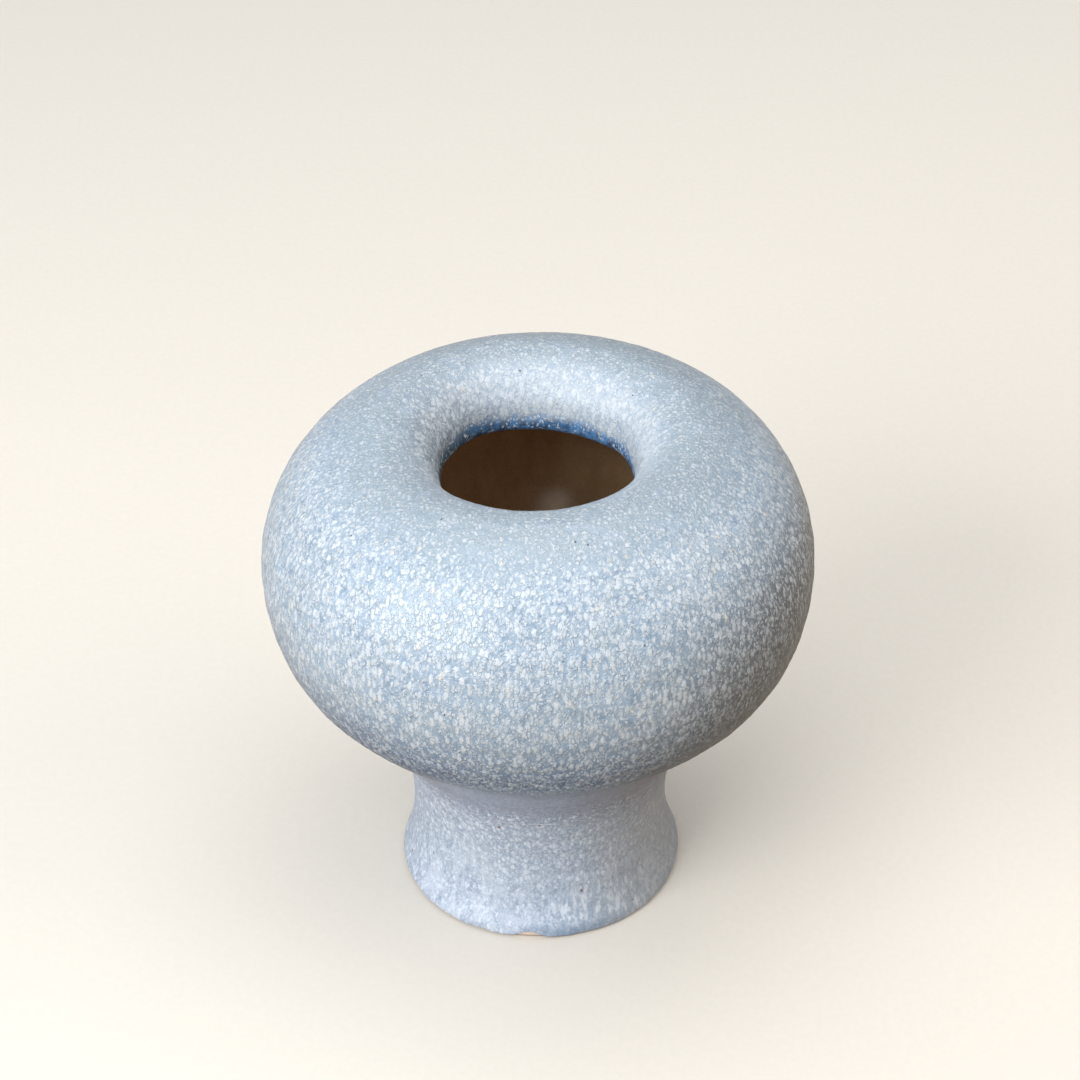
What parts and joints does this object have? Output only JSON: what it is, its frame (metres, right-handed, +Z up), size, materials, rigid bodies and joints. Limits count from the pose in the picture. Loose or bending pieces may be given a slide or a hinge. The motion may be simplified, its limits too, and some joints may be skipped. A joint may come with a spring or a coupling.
{
  "type": "flower vase",
  "caption": "Round closed-in stoneware vase with a rolled lip, on a waisted hollow foot. It stands on a table and holds water and cut stems.",
  "frame": {"origin": "centre of the foot ring, on the plane of the table", "axes": "+Z up along the vase's axis of rotation, +X to the right, -Y towards the viewer; the vase is round, so X and Y are free"},
  "size_m": [0.2, 0.2, 0.1953],
  "materials": {
    "stoneware_clay": "bare buff-pink stoneware, matt and slightly gritty",
    "joining_slip": "fired joining slip, matt",
    "speckled_glaze": "satin blue-grey glaze with dense white speckle",
    "streaked_glaze": "satin lavender-blue glaze with speckle and runs",
    "liner_glaze": "glossy warm brown liner glaze"
  },
  "bodies": {
    "root": {"bulb_shell": "stoneware_clay", "pedestal_foot": "stoneware_clay", "slip_joint": "joining_slip", "bulb_glaze": "speckled_glaze", "foot_glaze": "streaked_glaze", "liner_glaze": "liner_glaze"}
  },
  "joints": []
}
